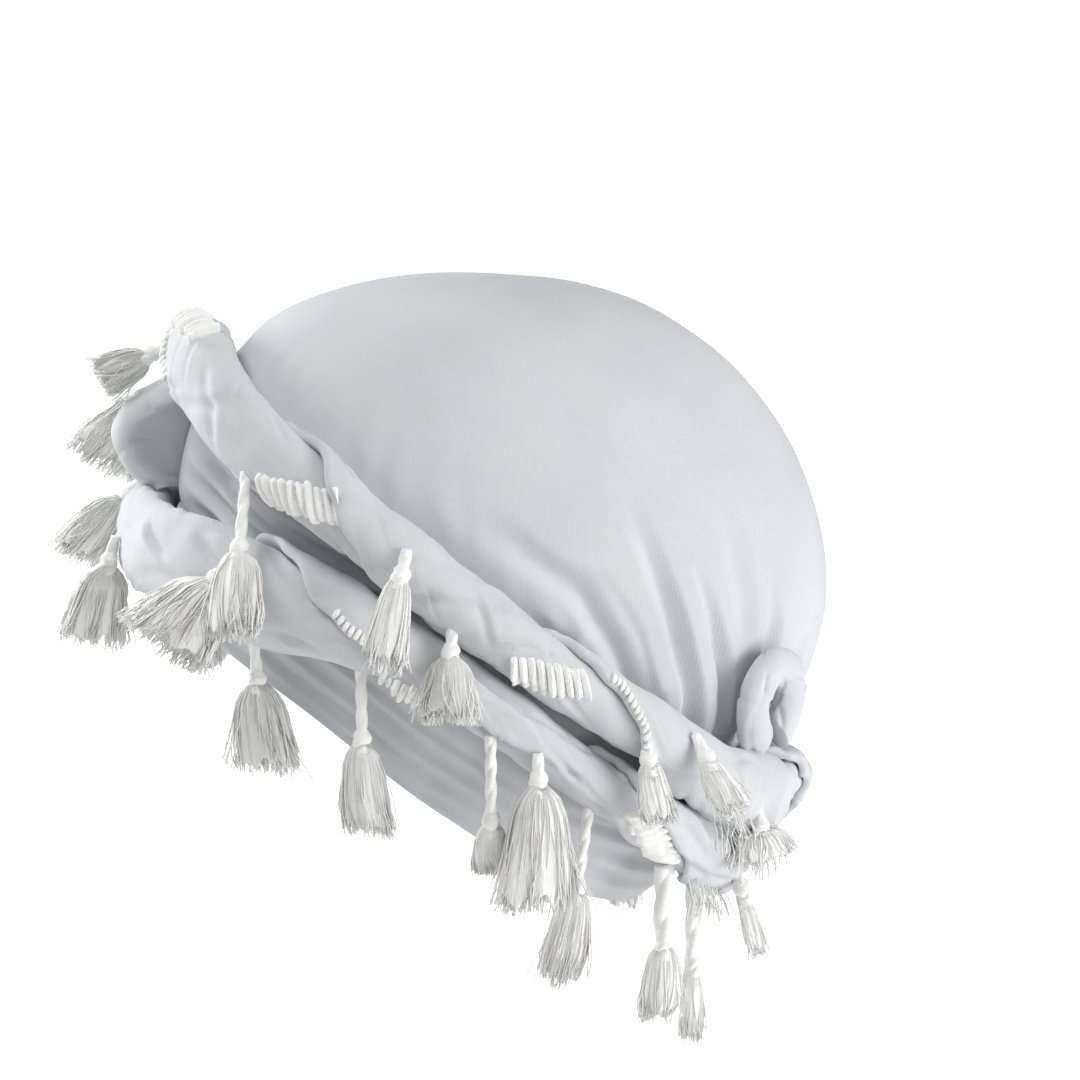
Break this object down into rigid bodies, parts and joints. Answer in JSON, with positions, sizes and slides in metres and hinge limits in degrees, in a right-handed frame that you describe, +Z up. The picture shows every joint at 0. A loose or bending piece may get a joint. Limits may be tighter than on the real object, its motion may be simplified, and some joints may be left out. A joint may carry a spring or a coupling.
{
  "type": "durag",
  "caption": "Jersey durag wrapped turban fashion: domed lined crown with pleated rim, gathered folds, a fringed tail wound into two twisted rolls, and knotted tassels.",
  "frame": {"origin": "centre of the head that the crown sits on", "axes": "+Z up, the brow faces -Y and the wearer's left is +X"},
  "size_m": [0.2179, 0.2479, 0.232],
  "materials": {
    "jersey": "matte cotton jersey",
    "satin": "puckered satin",
    "cotton": "twisted cotton yarn"
  },
  "bodies": {
    "root": {"crown": "jersey", "lining": "satin", "upper_roll": "jersey", "lower_roll": "jersey", "brow_puff": "jersey", "tail_puff": "jersey", "heading_1": "cotton", "heading_2": "cotton", "heading_3": "cotton", "heading_4": "cotton", "heading_5": "cotton", "heading_6": "cotton", "heading_7": "cotton", "tassel_1": "cotton", "tassel_2": "cotton", "tassel_3": "cotton", "tassel_4": "cotton", "tassel_5": "cotton", "tassel_6": "cotton", "tassel_7": "cotton", "tassel_8": "cotton", "tassel_9": "cotton", "tassel_10": "cotton", "tassel_11": "cotton", "tassel_12": "cotton", "tassel_13": "cotton", "tassel_14": "cotton", "tassel_15": "cotton", "tassel_16": "cotton", "tassel_17": "cotton", "tassel_18": "cotton", "tassel_19": "cotton", "tassel_20": "cotton", "tassel_21": "cotton", "tassel_22": "cotton", "tassel_23": "cotton", "tassel_24": "cotton", "tassel_25": "cotton", "tassel_26": "cotton"}
  },
  "joints": []
}
